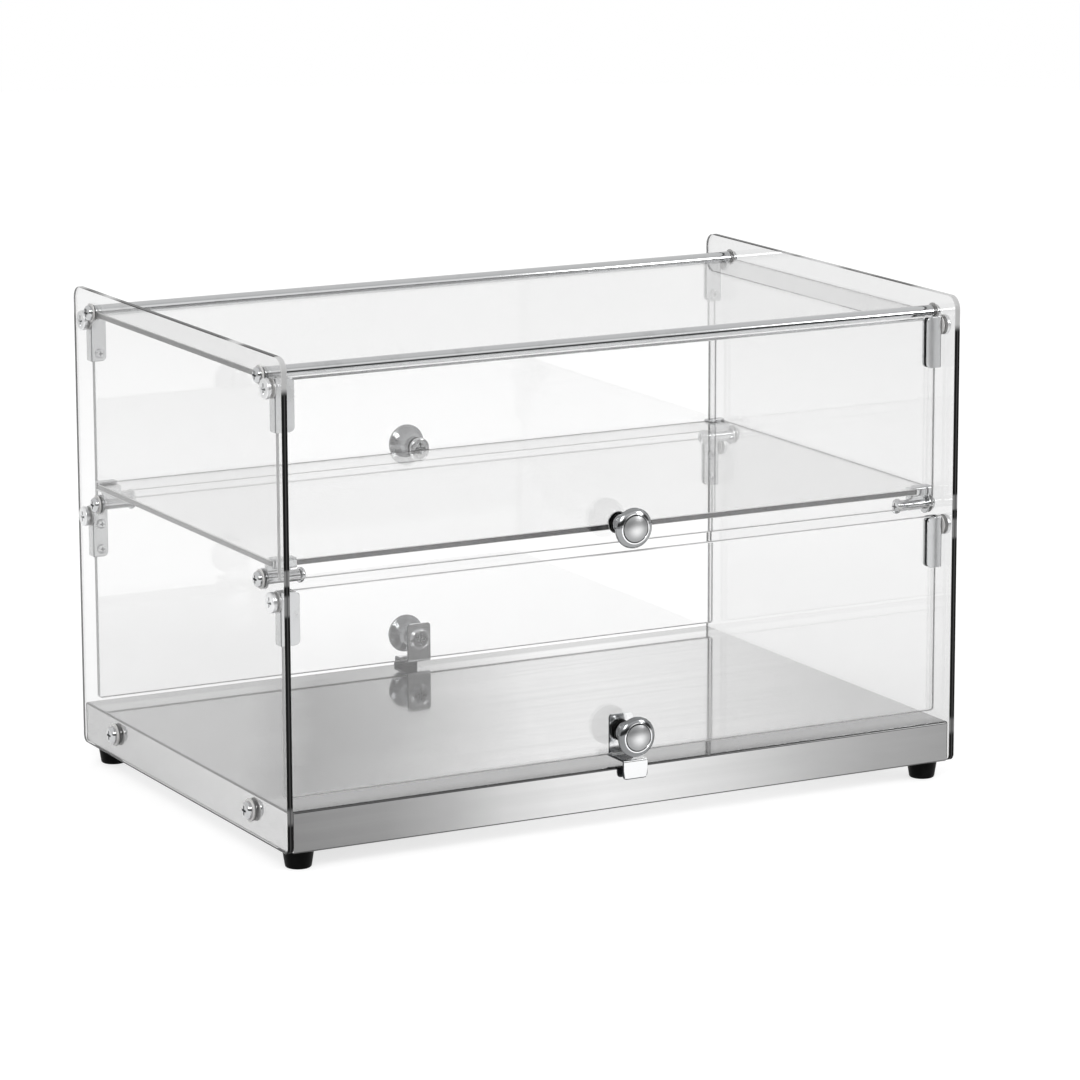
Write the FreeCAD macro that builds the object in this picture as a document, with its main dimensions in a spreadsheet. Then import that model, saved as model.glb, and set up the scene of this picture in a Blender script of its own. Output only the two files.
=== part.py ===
import FreeCAD, Part
import math
import os
import re

import Sketcher

# Glass display case for a counter: two side panes screwed to a folded steel base, a top pane held in two rods,
# a shelf on four clips, and four flap doors that swing up on pivots at their upper corners.
# Frame: X to the right, front towards -Y, Z up, origin on the ground in the middle of the case.

# Driving dimensions in millimetres
SIZES = {
    # Glass
    "case_width": 500,
    "pane_depth": 335,
    "pane_height": 320,
    "glass": 4,
    "pane_corner": 9,
    "pane_low_corner": 5,
    "arris": 0.4,
    # Clearances and the length by which a cut runs past its wall
    "screw_gap": 0.1,
    "seat_gap": 0.2,
    "run_gap": 0.3,
    "overrun": 1,
    # Base tray
    "base_height": 28,
    "base_sheet": 1,
    "base_inset": 1,
    "base_flange": 24,
    "base_bend": 1.8,
    "base_screw_setback": 56.5,
    "base_screw_rise": 17,
    # Feet
    "foot_height": 13,
    "foot_top": 21,
    "foot_bottom": 17.3,
    "foot_edge": 1.2,
    "foot_inset": 11,
    "foot_setback": 16,
    "foot_sink": 5,
    "foot_sink_diameter": 9.5,
    # Rods and the top pane that lies in their grooves
    "rod_diameter": 10,
    "rod_behind_pivot": 11.75,
    "rod_drop": 14.7,
    "rod_tap_depth": 12,
    "groove_depth": 2.2,
    "groove_drop": 3,
    # Shelf
    "shelf_rise": 154.5,
    "shelf_door_gap": 0.8,
    "shelf_side_gap": 1.5,
    "shelf_corner": 5,
    # Shelf clips
    "barrel_diameter": 8,
    "barrel_length": 22,
    "barrel_drop": 9,
    "barrel_setback": 10.5,
    "barrel_flange": 13.5,
    "barrel_flange_thickness": 1.2,
    "cap_width": 13,
    "cap_sheet": 1.2,
    "cap_lip": 7,
    "cap_offset": 2.2,
    "neck_width": 4,
    # Pan head screws of the rods and shelf clips, with their washers
    "pan_shank": 4,
    "pan_length": 11,
    "pan_head": 10.5,
    "pan_head_height": 3.2,
    "pan_dome": 2.2,
    "washer_diameter": 13,
    "washer_thickness": 1,
    # Screws of the base, with washers, and the nuts inside the tray
    "tray_shank": 5,
    "base_length": 12,
    "base_head": 12,
    "base_head_height": 3.6,
    "base_dome": 2.5,
    "base_washer": 15.5,
    "base_washer_thickness": 1.2,
    "nut_flats": 8,
    "nut_height": 4,
    # Screws of the feet, with the same thread as the base's
    "foot_length": 14,
    "foot_head": 8,
    "foot_head_height": 2.6,
    "foot_dome": 1.6,
    # Doors
    "upper_door_setback": 19.5,
    "lower_door_step": 4,
    "upper_pivot_drop": 21.5,
    "lower_pivot_drop": 20.4,
    "door_rise": 6.5,
    "upper_door_lap": 8,
    "lower_door_gap": 5.5,
    "door_corner": 2,
    # Door clips and their soft liners
    "clip_height": 35,
    "clip_width": 11,
    "clip_web": 2.5,
    "clip_leg": 1.8,
    "clip_corner": 3.5,
    "clip_edge": 0.6,
    "liner": 0.5,
    # Clamp screws of the door clips
    "clamp_shank": 3,
    "clamp_head": 6.5,
    "clamp_head_height": 1.8,
    "clamp_dome": 1.2,
    "clamp_low": 29.5,
    "clamp_high": 12,
    "clamp_inset": 5,
    # Pivot screws and the bushes that they turn in
    "pivot_shank": 4,
    "pivot_head": 13.5,
    "pivot_head_height": 3,
    "pivot_dome": 1,
    "pivot_fit": 0.05,
    "bush_barrel": 8,
    "bush_flange": 13.5,
    "bush_flange_thickness": 0.8,
    "bush_proud": 0.3,
    # Knobs, their rubber washers and their screws
    "upper_knob_rise": 13,
    "lower_knob_rise": 15,
    "knob_rim": 27,
    "knob_neck": 12,
    "knob_foot": 13.5,
    "knob_depth": 21.5,
    "knob_foot_depth": 1.6,
    "knob_waist_depth": 6,
    "knob_rim_depth": 15,
    "knob_rim_band": 2,
    "knob_ring": 20.4,
    "knob_ring_slope": 0.3,
    "knob_groove": 0.5,
    "knob_groove_depth": 0.6,
    "knob_face": 17.6,
    "knob_crown": 2,
    "knob_flare": 11,
    "knob_shoulder": 4,
    "knob_dome": 20.4,
    "knob_tap_depth": 9,
    "knob_washer": 14.5,
    "knob_washer_thickness": 2,
    "knob_shank": 5,
    "knob_thread": 8,
    "knob_head": 15,
    "knob_head_height": 2.2,
    "knob_head_dome": 1.6,
    # Stop plates of the lower doors
    "plate_width": 18,
    "plate_sheet": 1.5,
    "plate_rise": 11.5,
    "plate_lip": 13.5,
    "plate_gap": 3.5,
    "plate_bend": 0.6,
    "plate_corner": 2.5,
}

# Shares of a screw head's sizes that give its cross recess
RECESS_SPAN_SHARE = 0.52
RECESS_SLOT_SHARE = 0.12
RECESS_DEPTH_SHARE = 0.55

# Places that several pieces share, as expressions of the driving dimensions
INNER_HALF = "(case_width / 2 - glass)"
BASE_DEPTH = "(pane_depth - 2 * base_inset)"
BASE_TOP = "(foot_height + base_height)"
FOOT_X = f"({INNER_HALF} - foot_inset)"
FOOT_Y = f"({BASE_DEPTH} / 2 - foot_setback)"
UPPER_DOOR_Y = "(pane_depth / 2 - upper_door_setback)"
LOWER_DOOR_Y = f"({UPPER_DOOR_Y} + lower_door_step)"
BASE_SCREW_Y = "(pane_depth / 2 - base_screw_setback)"
ROD_Y = f"({UPPER_DOOR_Y} - rod_behind_pivot)"
ROD_Z = "(foot_height + pane_height - rod_drop)"
SHELF_BOTTOM = f"({BASE_TOP} + shelf_rise)"
SHELF_DEPTH = f"(2 * ({UPPER_DOOR_Y} - glass / 2 - knob_head_height - shelf_door_gap))"
BARREL_Y = f"({SHELF_DEPTH} / 2 - barrel_setback)"
BARREL_Z = f"({SHELF_BOTTOM} - barrel_drop)"
CLIP_FACE = f"({INNER_HALF} - bush_flange_thickness - run_gap)"
DOOR_HALF = f"({CLIP_FACE} - clip_web - liner)"
SLOT_HALF = "(glass / 2 + liner)"
CLIP_HALF = f"({SLOT_HALF} + clip_leg)"
UPPER_PIVOT_Z = "(foot_height + pane_height - upper_pivot_drop)"
LOWER_PIVOT_Z = f"({SHELF_BOTTOM} - lower_pivot_drop)"
UPPER_DOOR_DROP = f"({UPPER_PIVOT_Z} - ({SHELF_BOTTOM} - upper_door_lap))"
LOWER_DOOR_DROP = f"({LOWER_PIVOT_Z} - ({BASE_TOP} + lower_door_gap))"

doc = FreeCAD.newDocument("display_case")
sheet = doc.addObject("Spreadsheet::Sheet", "Sizes")
for row, (alias, size) in enumerate(SIZES.items(), start=1):
    sheet.set(f"A{row}", alias)
    sheet.set(f"B{row}", str(size))
    sheet.setAlias(f"B{row}", alias)
doc.recompute()

UP = FreeCAD.Vector(0, 0, 1)
ACROSS = FreeCAD.Vector(0, 1, 0)
nodes = []


def with_sheet(text):
    """Writes an expression of the driving dimensions with the sheet's name before each of them."""
    return re.sub(r"[a-z][a-z_]*", lambda word: f"Sizes.{word[0]}" if word[0] in SIZES else word[0], text)


def value(text):
    """Gives the present value of an expression of the driving dimensions."""
    return float(sheet.evalExpression(with_sheet(text)))


def bind(thing, name, text):
    """Binds one property of an object to an expression of the driving dimensions."""
    thing.setExpression(name, with_sheet(text))


def place(thing, x="0", y="0", z="0", turn=0, axis=UP):
    """Places an object, turned by a number of degrees about an axis through its own origin."""
    thing.Placement = FreeCAD.Placement(FreeCAD.Vector(), FreeCAD.Rotation(axis, turn))
    bind(thing, "Placement.Base.x", x)
    bind(thing, "Placement.Base.y", y)
    bind(thing, "Placement.Base.z", z)


def start_body(label):
    """Starts a body that is a sub-part, or the pattern for a group of like sub-parts."""
    body = doc.addObject("PartDesign::Body", label)
    body.Label = label
    return body


def finish(piece):
    """Keeps a finished sub-part for writing."""
    doc.recompute()
    nodes.append(piece)
    return piece


def draw_on(body, role, offset="0"):
    """Starts a sketch on one of the body's origin planes, or at an offset from it."""
    sketch = body.newObject("Sketcher::SketchObject", f"{body.Name}_sketch")
    plane = [feature for feature in body.Origin.OriginFeatures if feature.Role == role][0]
    sketch.AttachmentSupport = [(plane, "")]
    sketch.MapMode = "FlatFace"
    bind(sketch, "AttachmentOffset.Base.z", offset)
    return sketch


def hold(sketch, kind, geometry, point, text):
    """Holds one coordinate of a point of the sketch at an expression."""
    number = sketch.addConstraint(Sketcher.Constraint(kind, -1, 1, geometry, point, value(text)))
    bind(sketch, f"Constraints[{number}]", text)


def arc_between(start, end, radius):
    """Makes the arc under a half circle that runs anticlockwise from start to end."""
    chord = end - start
    left = FreeCAD.Vector(-chord.y, chord.x, 0).normalize()
    rise = math.sqrt(max(radius**2 - (chord.Length / 2) ** 2, 0))
    middle = (start + end) / 2 + left * rise
    angles = [math.atan2(point.y - middle.y, point.x - middle.x) for point in (start, end)]
    return Part.ArcOfCircle(Part.Circle(middle, UP, radius), *angles)


def outline(sketch, corners):
    """Draws a closed outline. A corner is (x, y), or (x, y, radius, turn) where an arc leaves it, and the turn
    is 1 for an anticlockwise arc and -1 for a clockwise one."""
    points = [FreeCAD.Vector(value(corner[0]), value(corner[1]), 0) for corner in corners]
    sides = []
    for number, corner in enumerate(corners):
        start = points[number]
        end = points[(number + 1) % len(points)]
        if len(corner) == 2:
            sides.append((sketch.addGeometry(Part.LineSegment(start, end), False), 1, 2))
            continue
        radius, turn = corner[2:]
        ends = (start, end) if turn > 0 else (end, start)
        side = sketch.addGeometry(arc_between(*ends, value(radius)), False)
        held = sketch.addConstraint(Sketcher.Constraint("Radius", side, value(radius)))
        bind(sketch, f"Constraints[{held}]", radius)
        sides.append((side, 1, 2) if turn > 0 else (side, 2, 1))
    for number, (side, first, last) in enumerate(sides):
        following, opening, closing = sides[(number + 1) % len(sides)]
        sketch.addConstraint(Sketcher.Constraint("Coincident", side, last, following, opening))
        hold(sketch, "DistanceX", side, first, corners[number][0])
        hold(sketch, "DistanceY", side, first, corners[number][1])


def rectangle(sketch, width, height, x="0", y="0"):
    """Draws a rectangle about a centre."""
    left, right = f"({x}) - ({width}) / 2", f"({x}) + ({width}) / 2"
    low, high = f"({y}) - ({height}) / 2", f"({y}) + ({height}) / 2"
    outline(sketch, [(left, low), (right, low), (right, high), (left, high)])


def circle(sketch, diameter, x="0", y="0"):
    """Draws a circle about a centre."""
    middle = FreeCAD.Vector(value(x), value(y), 0)
    number = sketch.addGeometry(Part.Circle(middle, UP, value(diameter) / 2), False)
    hold(sketch, "DistanceX", number, 3, x)
    hold(sketch, "DistanceY", number, 3, y)
    size = sketch.addConstraint(Sketcher.Constraint("Diameter", number, value(diameter)))
    bind(sketch, f"Constraints[{size}]", diameter)


def pad(body, sketch, length, middle=False, back=False):
    """Adds a sketch drawn out along its normal, both ways or backwards where that is asked for."""
    feature = body.newObject("PartDesign::Pad", f"{body.Name}_pad")
    feature.Profile = sketch
    feature.SideType = "Symmetric" if middle else "One side"
    feature.Reversed = back
    bind(feature, "Length", length)
    doc.recompute()
    return feature


def pocket(body, sketch, length=None, back=False):
    """Cuts a sketch into the body to a length, or right through both ways, and makes sure that it cut."""
    before = body.Shape.Volume
    feature = body.newObject("PartDesign::Pocket", f"{body.Name}_pocket")
    feature.Profile = sketch
    feature.Reversed = back
    if length is None:
        feature.SideType = "Symmetric"
        feature.Type = "ThroughAll"
    else:
        bind(feature, "Length", length)
    doc.recompute()
    if not feature.Shape.Volume < before:
        raise RuntimeError(f"{body.Label}: the pocket cuts nothing")
    return feature


def revolve(body, sketch, axis):
    """Adds a sketch turned once round its own horizontal or vertical axis."""
    feature = body.newObject("PartDesign::Revolution", f"{body.Name}_turned")
    feature.Profile = sketch
    feature.ReferenceAxis = (sketch, [axis])
    doc.recompute()
    return feature


def mirror(body, features, role):
    """Repeats features on the other side of one of the body's origin planes."""
    feature = body.newObject("PartDesign::Mirrored", f"{body.Name}_mirrored")
    feature.Originals = features
    plane = [part for part in body.Origin.OriginFeatures if part.Role == role][0]
    feature.MirrorPlane = (plane, [""])
    body.Tip = feature
    doc.recompute()
    return feature


def soften(body, radius, chosen, kind="Fillet"):
    """Rounds or chamfers the edges of the body that a test chooses."""
    doc.recompute()
    base = body.Tip
    edges = [f"Edge{number}" for number, edge in enumerate(base.Shape.Edges, start=1) if chosen(edge)]
    feature = body.newObject(f"PartDesign::{kind}", f"{body.Name}_{kind.lower()}")
    feature.Base = (base, edges)
    bind(feature, "Size" if kind == "Chamfer" else "Radius", radius)
    doc.recompute()
    return feature


def runs_along(edge, axis):
    """Tells whether an edge is straight and runs along an axis of its body: 0 for X, 1 for Y and 2 for Z."""
    if not isinstance(edge.Curve, Part.Line):
        return False
    return abs(edge.tangentAt(edge.FirstParameter)[axis]) > 1 - Part.Precision.confusion()


def near(first, second):
    """Tells whether two measures agree as closely as the modeller can tell."""
    return abs(first - second) < Part.Precision.approximation() * max(1, abs(second))


def group(label, pattern, places):
    """Makes one sub-part of several like solids: the pattern at each place."""
    links = []
    for number, (x, y, z, turn, axis) in enumerate(places, start=1):
        link = doc.addObject("App::Link", f"{label}_{number}")
        link.LinkedObject = pattern
        place(link, x, y, z, turn, axis)
        links.append(link)
    compound = doc.addObject("Part::Compound", label)
    compound.Label = label
    compound.Links = links
    return finish(compound)


def cross_recess(body, head, height):
    """Cuts a cross recess into the head of a screw whose head stands on the -X side of its origin."""
    sketch = draw_on(body, "YZ_Plane", f"-({height})")
    arm = f"{head} * {RECESS_SPAN_SHARE} / 2"
    slot = f"{head} * {RECESS_SLOT_SHARE} / 2"
    quarter = [(arm, f"-{slot}"), (arm, slot), (slot, slot)]
    corners = []
    for turn in range(4):
        for x, y in quarter:
            turned = [(x, y), (f"-({y})", x), (f"-({x})", f"-({y})"), (y, f"-({x})")][turn]
            corners.append(turned)
    outline(sketch, corners)
    pocket(body, sketch, f"{height} * {RECESS_DEPTH_SHARE}", back=True)


def screw(label, shank, length, head, height, dome):
    """Makes a round head screw along X, its head on the -X side of its origin, with a cross recess."""
    body = start_body(label)
    sketch = draw_on(body, "XY_Plane")
    outline(
        sketch,
        [
            (f"-{height}", "0"),
            (length, "0"),
            (length, f"{shank} / 2"),
            ("0", f"{shank} / 2"),
            ("0", f"{head} / 2"),
            (f"-{height}", f"{head} / 2"),
        ],
    )
    revolve(body, sketch, "H_Axis")
    top = -value(height)
    soften(body, dome, lambda edge: isinstance(edge.Curve, Part.Circle) and near(edge.CenterOfMass.x, top))
    cross_recess(body, head, height)
    return body


def ring(label, outer, inner, thickness):
    """Makes a flat ring along X, from its origin towards -X."""
    body = start_body(label)
    sketch = draw_on(body, "YZ_Plane")
    circle(sketch, outer)
    circle(sketch, inner)
    pad(body, sketch, thickness, back=True)
    return body


def nut(label, flats, height, bore):
    """Makes a hexagon nut along Z, standing on its origin."""
    prism = doc.addObject("Part::Prism", f"{label}_prism")
    prism.Polygon = 6
    bind(prism, "Circumradius", f"{flats} / sqrt(3)")
    bind(prism, "Height", height)
    drill = doc.addObject("Part::Cylinder", f"{label}_drill")
    bind(drill, "Radius", f"({bore}) / 2")
    bind(drill, "Height", f"{height} + 2 * overrun")
    bind(drill, "Placement.Base.z", "-overrun")
    body = doc.addObject("Part::Cut", label)
    body.Base = prism
    body.Tool = drill
    doc.recompute()
    return body


def ends(sign):
    """Gives the two signs of a mirrored pair, the given one first."""
    return (sign, -sign)


# Base tray: deck, four walls and return flanges, folded from one sheet and open below
def make_base_tray():
    body = start_body("base_tray")
    width = f"2 * {INNER_HALF}"
    sketch = draw_on(body, "XY_Plane")
    rectangle(sketch, width, BASE_DEPTH)
    pad(body, sketch, "base_height")
    top = value("base_height")
    soften(body, "base_bend", lambda edge: near(edge.CenterOfMass.z, top))
    cavity = draw_on(body, "XY_Plane", "base_sheet")
    rectangle(cavity, f"{width} - 2 * base_sheet", f"{BASE_DEPTH} - 2 * base_sheet")
    pocket(body, cavity, "base_height - 2 * base_sheet", back=True)
    opening = draw_on(body, "XY_Plane")
    rectangle(opening, f"{width} - 2 * base_flange", f"{BASE_DEPTH} - 2 * base_flange")
    pocket(body, opening, "base_sheet", back=True)
    feet = draw_on(body, "XY_Plane")
    for side in ends(1):
        for end in ends(1):
            circle(feet, "tray_shank + 2 * screw_gap", f"{side} * {FOOT_X}", f"{end} * {FOOT_Y}")
    pocket(body, feet, "base_sheet", back=True)
    holes = draw_on(body, "YZ_Plane")
    for end in ends(1):
        circle(holes, "tray_shank + 2 * screw_gap", f"{end} * {BASE_SCREW_Y}", "base_screw_rise")
    pocket(body, holes)
    place(body, z="foot_height")
    finish(body)


# Side panes: one sheet of glass each, drilled for the rods, shelf clips, door pivots and base screws
def make_side_panes():
    holes = {
        "pan_shank + 2 * screw_gap": [
            (ROD_Y, f"{ROD_Z} - foot_height"),
            (BARREL_Y, f"{BARREL_Z} - foot_height"),
        ],
        "bush_barrel + 2 * screw_gap": [
            (UPPER_DOOR_Y, f"{UPPER_PIVOT_Z} - foot_height"),
            (LOWER_DOOR_Y, f"{LOWER_PIVOT_Z} - foot_height"),
        ],
        "tray_shank + 2 * screw_gap": [(BASE_SCREW_Y, "base_screw_rise")],
    }
    for label, side in (("left_side_pane", -1), ("right_side_pane", 1)):
        body = start_body(label)
        sketch = draw_on(body, "YZ_Plane")
        rectangle(sketch, "pane_depth", "pane_height", y="pane_height / 2")
        pad(body, sketch, "glass", middle=True)
        top = value("pane_height")
        soften(body, "pane_corner", lambda edge: runs_along(edge, 0) and near(edge.CenterOfMass.z, top))
        soften(body, "pane_low_corner", lambda edge: runs_along(edge, 0) and near(edge.CenterOfMass.z, 0))
        soften(body, "arris", lambda edge: True, kind="Chamfer")
        drilled = draw_on(body, "YZ_Plane")
        for diameter, spots in holes.items():
            for y, z in spots:
                for end in ends(1):
                    circle(drilled, diameter, f"{end} * {y}", z)
        pocket(body, drilled)
        place(body, f"{side} * (case_width / 2 - glass / 2)", z="foot_height")
        finish(body)


# Flat panes: the top lies in the rods' grooves, and the shelf lies on its clips
def make_flat_pane(label, width, depth, corner, bottom):
    body = start_body(label)
    sketch = draw_on(body, "XY_Plane")
    rectangle(sketch, width, depth)
    pad(body, sketch, "glass")
    soften(body, corner, lambda edge: runs_along(edge, 2))
    soften(body, "arris", lambda edge: True, kind="Chamfer")
    place(body, z=bottom)
    finish(body)


# Rods: round bars with a groove for the top pane's edge and a tapped hole in each end
def make_rod(label, end):
    body = start_body(label)
    sketch = draw_on(body, "YZ_Plane")
    circle(sketch, "rod_diameter")
    pad(body, sketch, f"2 * {INNER_HALF}", middle=True)
    groove = draw_on(body, "YZ_Plane")
    rectangle(
        groove,
        "groove_depth + overrun",
        "glass + seat_gap",
        "rod_diameter / 2 - groove_depth / 2 + overrun / 2",
        "(glass + seat_gap) / 2 - groove_drop",
    )
    pocket(body, groove)
    tapped = draw_on(body, "YZ_Plane", INNER_HALF)
    circle(tapped, "pan_shank + 2 * screw_gap")
    bore = pocket(body, tapped, "rod_tap_depth")
    mirror(body, [bore], "YZ_Plane")
    place(body, y=f"{end} * {ROD_Y}", z=ROD_Z, turn=0 if end < 0 else 180)
    finish(body)


# Shelf clips: a cap round the shelf's edge, carried by a tapped barrel that stands off the side pane.
# The origin is on the barrel's axis at the pane, and the shelf's edge is towards -Y.
def make_shelf_clip(label, hand, side, end):
    body = start_body(label)
    back = hand < 0
    barrel = draw_on(body, "YZ_Plane")
    circle(barrel, "barrel_diameter")
    pad(body, barrel, "barrel_length", back=back)
    flange = draw_on(body, "YZ_Plane")
    circle(flange, "barrel_flange")
    pad(body, flange, "barrel_flange_thickness", back=back)
    cap = draw_on(body, "YZ_Plane", f"{hand} * cap_offset")
    wall = "-(barrel_setback + seat_gap)"
    lid = "(barrel_drop + glass + seat_gap)"
    outline(
        cap,
        [
            ("-neck_width / 2", "0"),
            ("neck_width / 2", "0"),
            ("neck_width / 2", "barrel_drop"),
            (wall, "barrel_drop"),
            (wall, lid),
            (f"{wall} + cap_lip", lid),
            (f"{wall} + cap_lip", f"{lid} + cap_sheet"),
            (f"{wall} - cap_sheet", f"{lid} + cap_sheet"),
            (f"{wall} - cap_sheet", "barrel_drop - cap_sheet"),
            ("-neck_width / 2", "barrel_drop - cap_sheet"),
        ],
    )
    pad(body, cap, "cap_width", back=back)
    bore = draw_on(body, "YZ_Plane")
    circle(bore, "pan_shank + 2 * screw_gap")
    pocket(body, bore)
    place(body, f"{side} * {INNER_HALF}", f"{end} * {BARREL_Y}", BARREL_Z, turn=0 if end < 0 else 180)
    finish(body)


def make_shelf_clips():
    for depth_name, end in (("front", -1), ("rear", 1)):
        for side_name, side in (("left", -1), ("right", 1)):
            make_shelf_clip(f"{depth_name}_{side_name}_shelf_clip", side * end, side, end)


# Screws, washers and nuts of the case: each kind is one pattern, repeated at its places
def side_places(spots, lift):
    """Gives places outside both side panes: each of (y, z), mirrored front to rear, at a lift off the glass."""
    places = []
    for side, turn in ((-1, 0), (1, 180)):
        for end in ends(-1):
            for y, z in spots:
                places.append((f"{side} * (case_width / 2 + {lift})", f"{end} * {y}", z, turn, UP))
    return places


def make_case_fasteners():
    pan = screw("pan_screw", "pan_shank", "pan_length", "pan_head", "pan_head_height", "pan_dome")
    spots = [(ROD_Y, ROD_Z), (BARREL_Y, BARREL_Z)]
    places = side_places(spots, "washer_thickness")
    for side, turn in ((-1, 180), (1, 0)):
        for end in ends(-1):
            places.append((f"{side} * ({INNER_HALF} - barrel_length)", f"{end} * {BARREL_Y}", BARREL_Z, turn, UP))
    group("pane_and_clip_screws", pan, places)
    washer = ring("washer", "washer_diameter", "pan_shank + 2 * screw_gap", "washer_thickness")
    group("pane_washers", washer, side_places(spots, "0"))

    base_spots = [(BASE_SCREW_Y, "foot_height + base_screw_rise")]
    base = screw("base_screw", "tray_shank", "base_length", "base_head", "base_head_height", "base_dome")
    group("base_screws", base, side_places(base_spots, "base_washer_thickness"))
    bore = "tray_shank + 2 * screw_gap"
    base_ring = ring("base_ring", "base_washer", bore, "base_washer_thickness")
    group("base_washers", base_ring, side_places(base_spots, "0"))
    foot = screw("foot_screw", "tray_shank", "foot_length", "foot_head", "foot_head_height", "foot_dome")
    corners = [(f"{side} * {FOOT_X}", f"{end} * {FOOT_Y}") for side in ends(-1) for end in ends(-1)]
    group("foot_screws", foot, [(x, y, "foot_sink", -90, ACROSS) for x, y in corners])

    places = [(x, y, "foot_height + base_sheet", 0, UP) for x, y in corners]
    for side, turn in ((-1, 90), (1, -90)):
        for end in ends(-1):
            x = f"{side} * ({INNER_HALF} - base_sheet)"
            places.append((x, f"{end} * {BASE_SCREW_Y}", "foot_height + base_screw_rise", turn, ACROSS))
    group("tray_nuts", nut("nut", "nut_flats", "nut_height", bore), places)


# Feet: tapered rubber, sunk from below for the screw's head
def make_feet():
    for depth_name, end in (("front", -1), ("rear", 1)):
        for side_name, side in (("left", -1), ("right", 1)):
            body = start_body(f"{depth_name}_{side_name}_foot")
            sketch = draw_on(body, "XZ_Plane")
            bore = "(tray_shank / 2 + screw_gap)"
            outline(
                sketch,
                [
                    (bore, "foot_sink"),
                    ("foot_sink_diameter / 2", "foot_sink"),
                    ("foot_sink_diameter / 2", "0"),
                    ("foot_bottom / 2 - foot_edge", "0", "foot_edge", 1),
                    ("foot_bottom / 2", "foot_edge"),
                    ("foot_top / 2", "foot_height"),
                    (bore, "foot_height"),
                ],
            )
            revolve(body, sketch, "V_Axis")
            place(body, f"{side} * {FOOT_X}", f"{end} * {FOOT_Y}")
            finish(body)


# Pivot bushes: a barrel in the side pane, with a flange on its inner face
def make_pivot_bushes():
    body = start_body("pivot_bush")
    sketch = draw_on(body, "XY_Plane")
    bore = "(pivot_shank / 2 + pivot_fit)"
    outline(
        sketch,
        [
            ("-(glass + bush_proud)", bore),
            ("bush_flange_thickness", bore),
            ("bush_flange_thickness", "bush_flange / 2"),
            ("0", "bush_flange / 2"),
            ("0", "bush_barrel / 2"),
            ("-(glass + bush_proud)", "bush_barrel / 2"),
        ],
    )
    revolve(body, sketch, "H_Axis")
    spots = [(UPPER_DOOR_Y, UPPER_PIVOT_Z), (LOWER_DOOR_Y, LOWER_PIVOT_Z)]
    group("pivot_bushes", body, side_places(spots, "-glass"))


# Doors. The pieces of a door are made about the middle of its pivot axis with the outside towards -Y.
# The rear doors are the front ones turned half a turn about Z.
def put_on_door(piece, door):
    place(piece, y=f"{door['end']} * {door['set']}", z=door["pivot"], turn=door["turn"])
    finish(piece)


def group_on_door(label, pattern, door, places):
    """Makes a group of like solids at places (x, y, z, turn, axis) of a door's own frame."""
    turned = []
    for x, y, z, turn, axis in places:
        sign = -door["end"]
        spin = FreeCAD.Rotation(UP, door["turn"]).multiply(FreeCAD.Rotation(axis, turn))
        turned.append(
            (
                f"{sign} * ({x})",
                f"{sign} * ({y}) + {door['end']} * {door['set']}",
                f"({z}) + {door['pivot']}",
                math.degrees(spin.Angle),
                spin.Axis,
            )
        )
    group(label, pattern, turned)


def make_door_pane(door):
    body = start_body(f"{door['name']}_pane")
    sketch = draw_on(body, "XZ_Plane")
    outline(
        sketch,
        [
            (f"-{DOOR_HALF}", f"-{door['drop']}"),
            (DOOR_HALF, f"-{door['drop']}"),
            (DOOR_HALF, "door_rise"),
            (f"-{DOOR_HALF}", "door_rise"),
        ],
    )
    pad(body, sketch, "glass", middle=True)
    soften(body, "door_corner", lambda edge: runs_along(edge, 1))
    soften(body, "arris", lambda edge: True, kind="Chamfer")
    hole = draw_on(body, "XZ_Plane")
    circle(hole, "knob_shank + 2 * screw_gap", y=door["knob"])
    pocket(body, hole)
    put_on_door(body, door)


def channel(sketch, hand, face, depth, web, half, leg):
    """Draws a channel that opens towards the door's middle: hand is 1 at the left edge and -1 at the right."""
    outer = f"-{hand} * {face}"
    inner = f"-{hand} * ({face} - ({web}))"
    mouth = f"-{hand} * ({face} - ({depth}))"
    outline(
        sketch,
        [
            (outer, f"-({half})"),
            (mouth, f"-({half})"),
            (mouth, f"-({half} - {leg})"),
            (inner, f"-({half} - {leg})"),
            (inner, f"{half} - {leg}"),
            (mouth, f"{half} - {leg}"),
            (mouth, half),
            (outer, half),
        ],
    )


def make_door_clip(door, side_name, hand):
    body = start_body(f"{door['name']}_{side_name}_clip")
    sketch = draw_on(body, "XY_Plane", "door_rise")
    channel(sketch, hand, CLIP_FACE, "clip_width", "clip_web", CLIP_HALF, "clip_leg")
    pad(body, sketch, "clip_height", back=True)
    mouth = value(f"{CLIP_FACE} - clip_width")
    soften(body, "clip_corner", lambda edge: runs_along(edge, 1) and near(abs(edge.CenterOfMass.x), mouth))
    outer, half = value(CLIP_FACE), value(CLIP_HALF)
    soften(
        body,
        "clip_edge",
        lambda edge: runs_along(edge, 2)
        and near(abs(edge.CenterOfMass.x), outer)
        and near(abs(edge.CenterOfMass.y), half),
    )
    pivot = draw_on(body, "YZ_Plane", f"-{hand} * {CLIP_FACE}")
    circle(pivot, "pivot_shank + 2 * screw_gap")
    pocket(body, pivot, "clip_web", back=hand > 0)
    clamps = draw_on(body, "XZ_Plane", f"-{CLIP_HALF}")
    for x, z in clamp_spots(door, hand):
        circle(clamps, "clamp_shank + 2 * screw_gap", x, z)
    pocket(body, clamps, "clip_leg", back=True)
    put_on_door(body, door)


def clamp_spots(door, hand):
    """Gives the clamp screws' places on a clip's inner leg."""
    x = f"-{hand} * ({CLIP_FACE} - clip_width + clamp_inset)"
    return [(x, f"door_rise - {low}") for low in door["clamps"]]


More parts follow.
